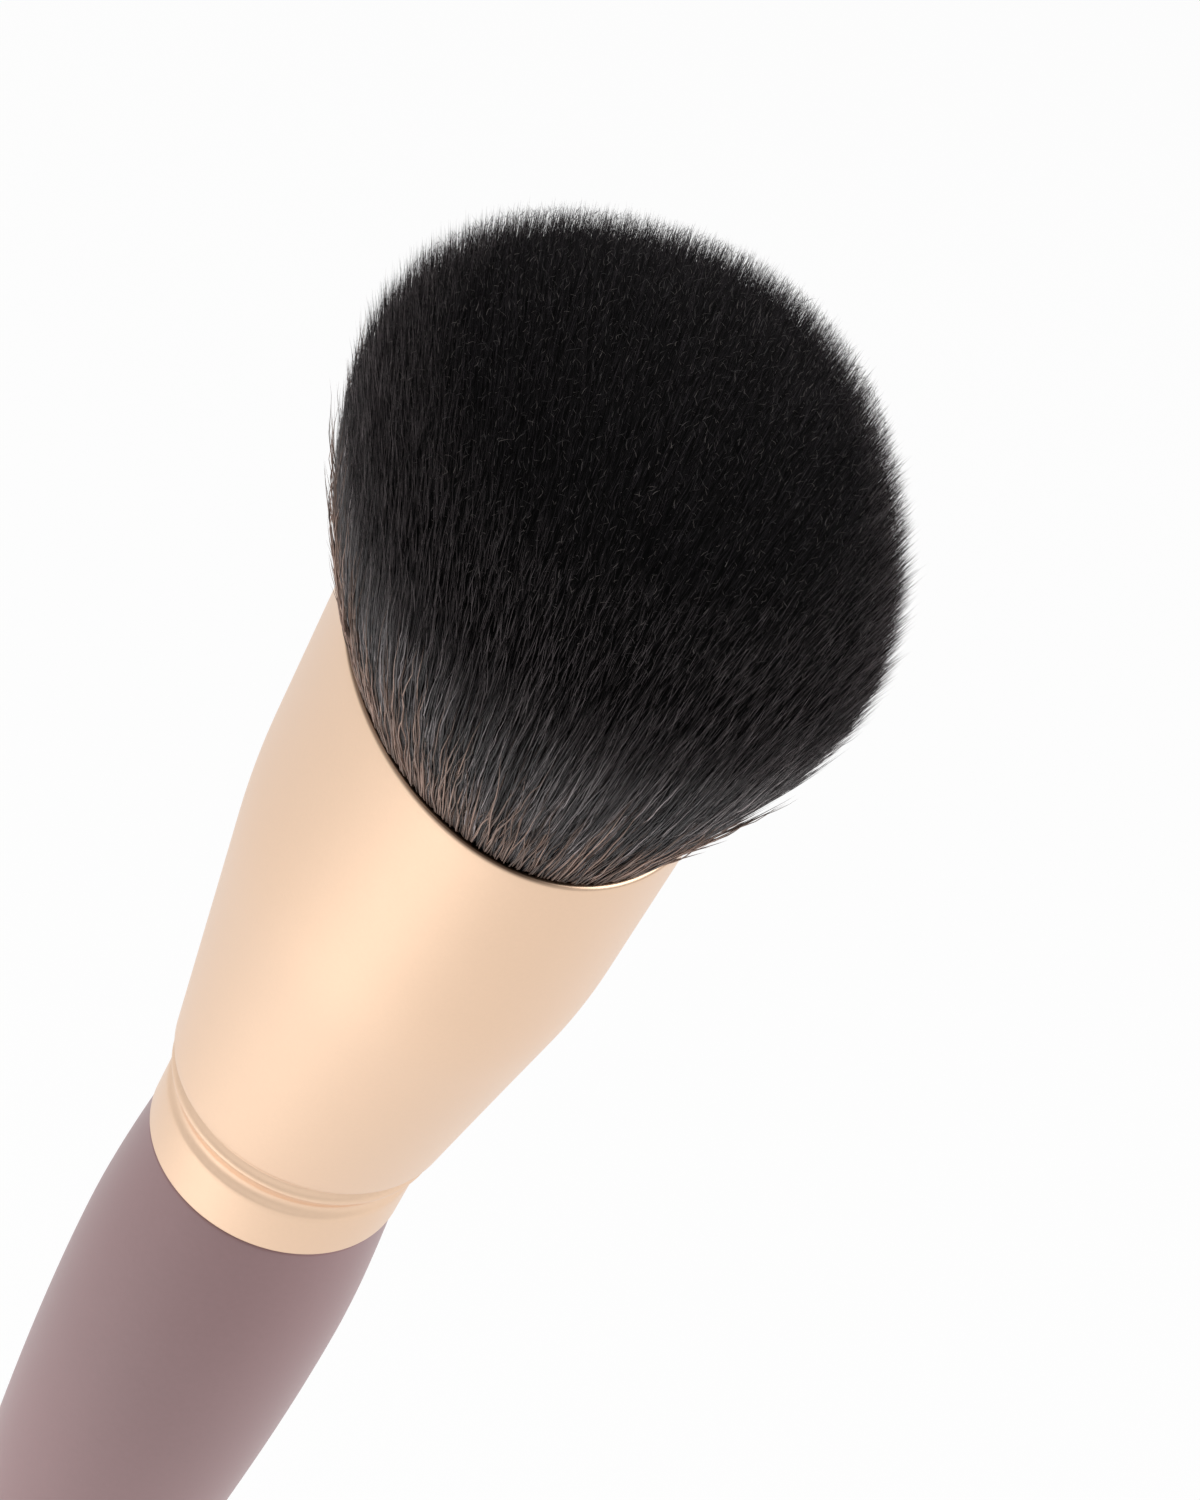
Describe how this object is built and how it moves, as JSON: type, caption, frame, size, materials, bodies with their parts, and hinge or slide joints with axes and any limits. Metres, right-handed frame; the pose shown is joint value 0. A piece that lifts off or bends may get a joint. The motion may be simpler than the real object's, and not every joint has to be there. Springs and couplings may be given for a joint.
{
  "type": "foundation brush",
  "caption": "Foundation brush: lacquered wooden handle, drawn metal ferrule pressed to an oval mouth, and a domed head of dense black fibres.",
  "frame": {"origin": "on the brush's axis, halfway up the straight tail of the handle, where a stand or holder grips it", "axes": "+Z along the brush towards the head, +X along the wide way of the oval head, +Y along its thin way"},
  "size_m": [0.0302, 0.0251, 0.1672],
  "materials": {
    "handle_lacquer": "satin mauve lacquer over turned wood",
    "ferrule_metal": "satin champagne anodised, drawn",
    "epoxy": "clear amber, hidden inside",
    "thread": "waxed thread, hidden inside",
    "black_fibre": "soft black synthetic fibres",
    "brown_fibre": "crimped brown synthetic fibres"
  },
  "bodies": {
    "root": {"handle": "handle_lacquer", "handle_glue": "epoxy", "ferrule": "ferrule_metal", "knot_resin": "epoxy", "knot_thread": "thread", "black_fibres": "black_fibre", "wavy_fibres": "brown_fibre"}
  },
  "joints": []
}
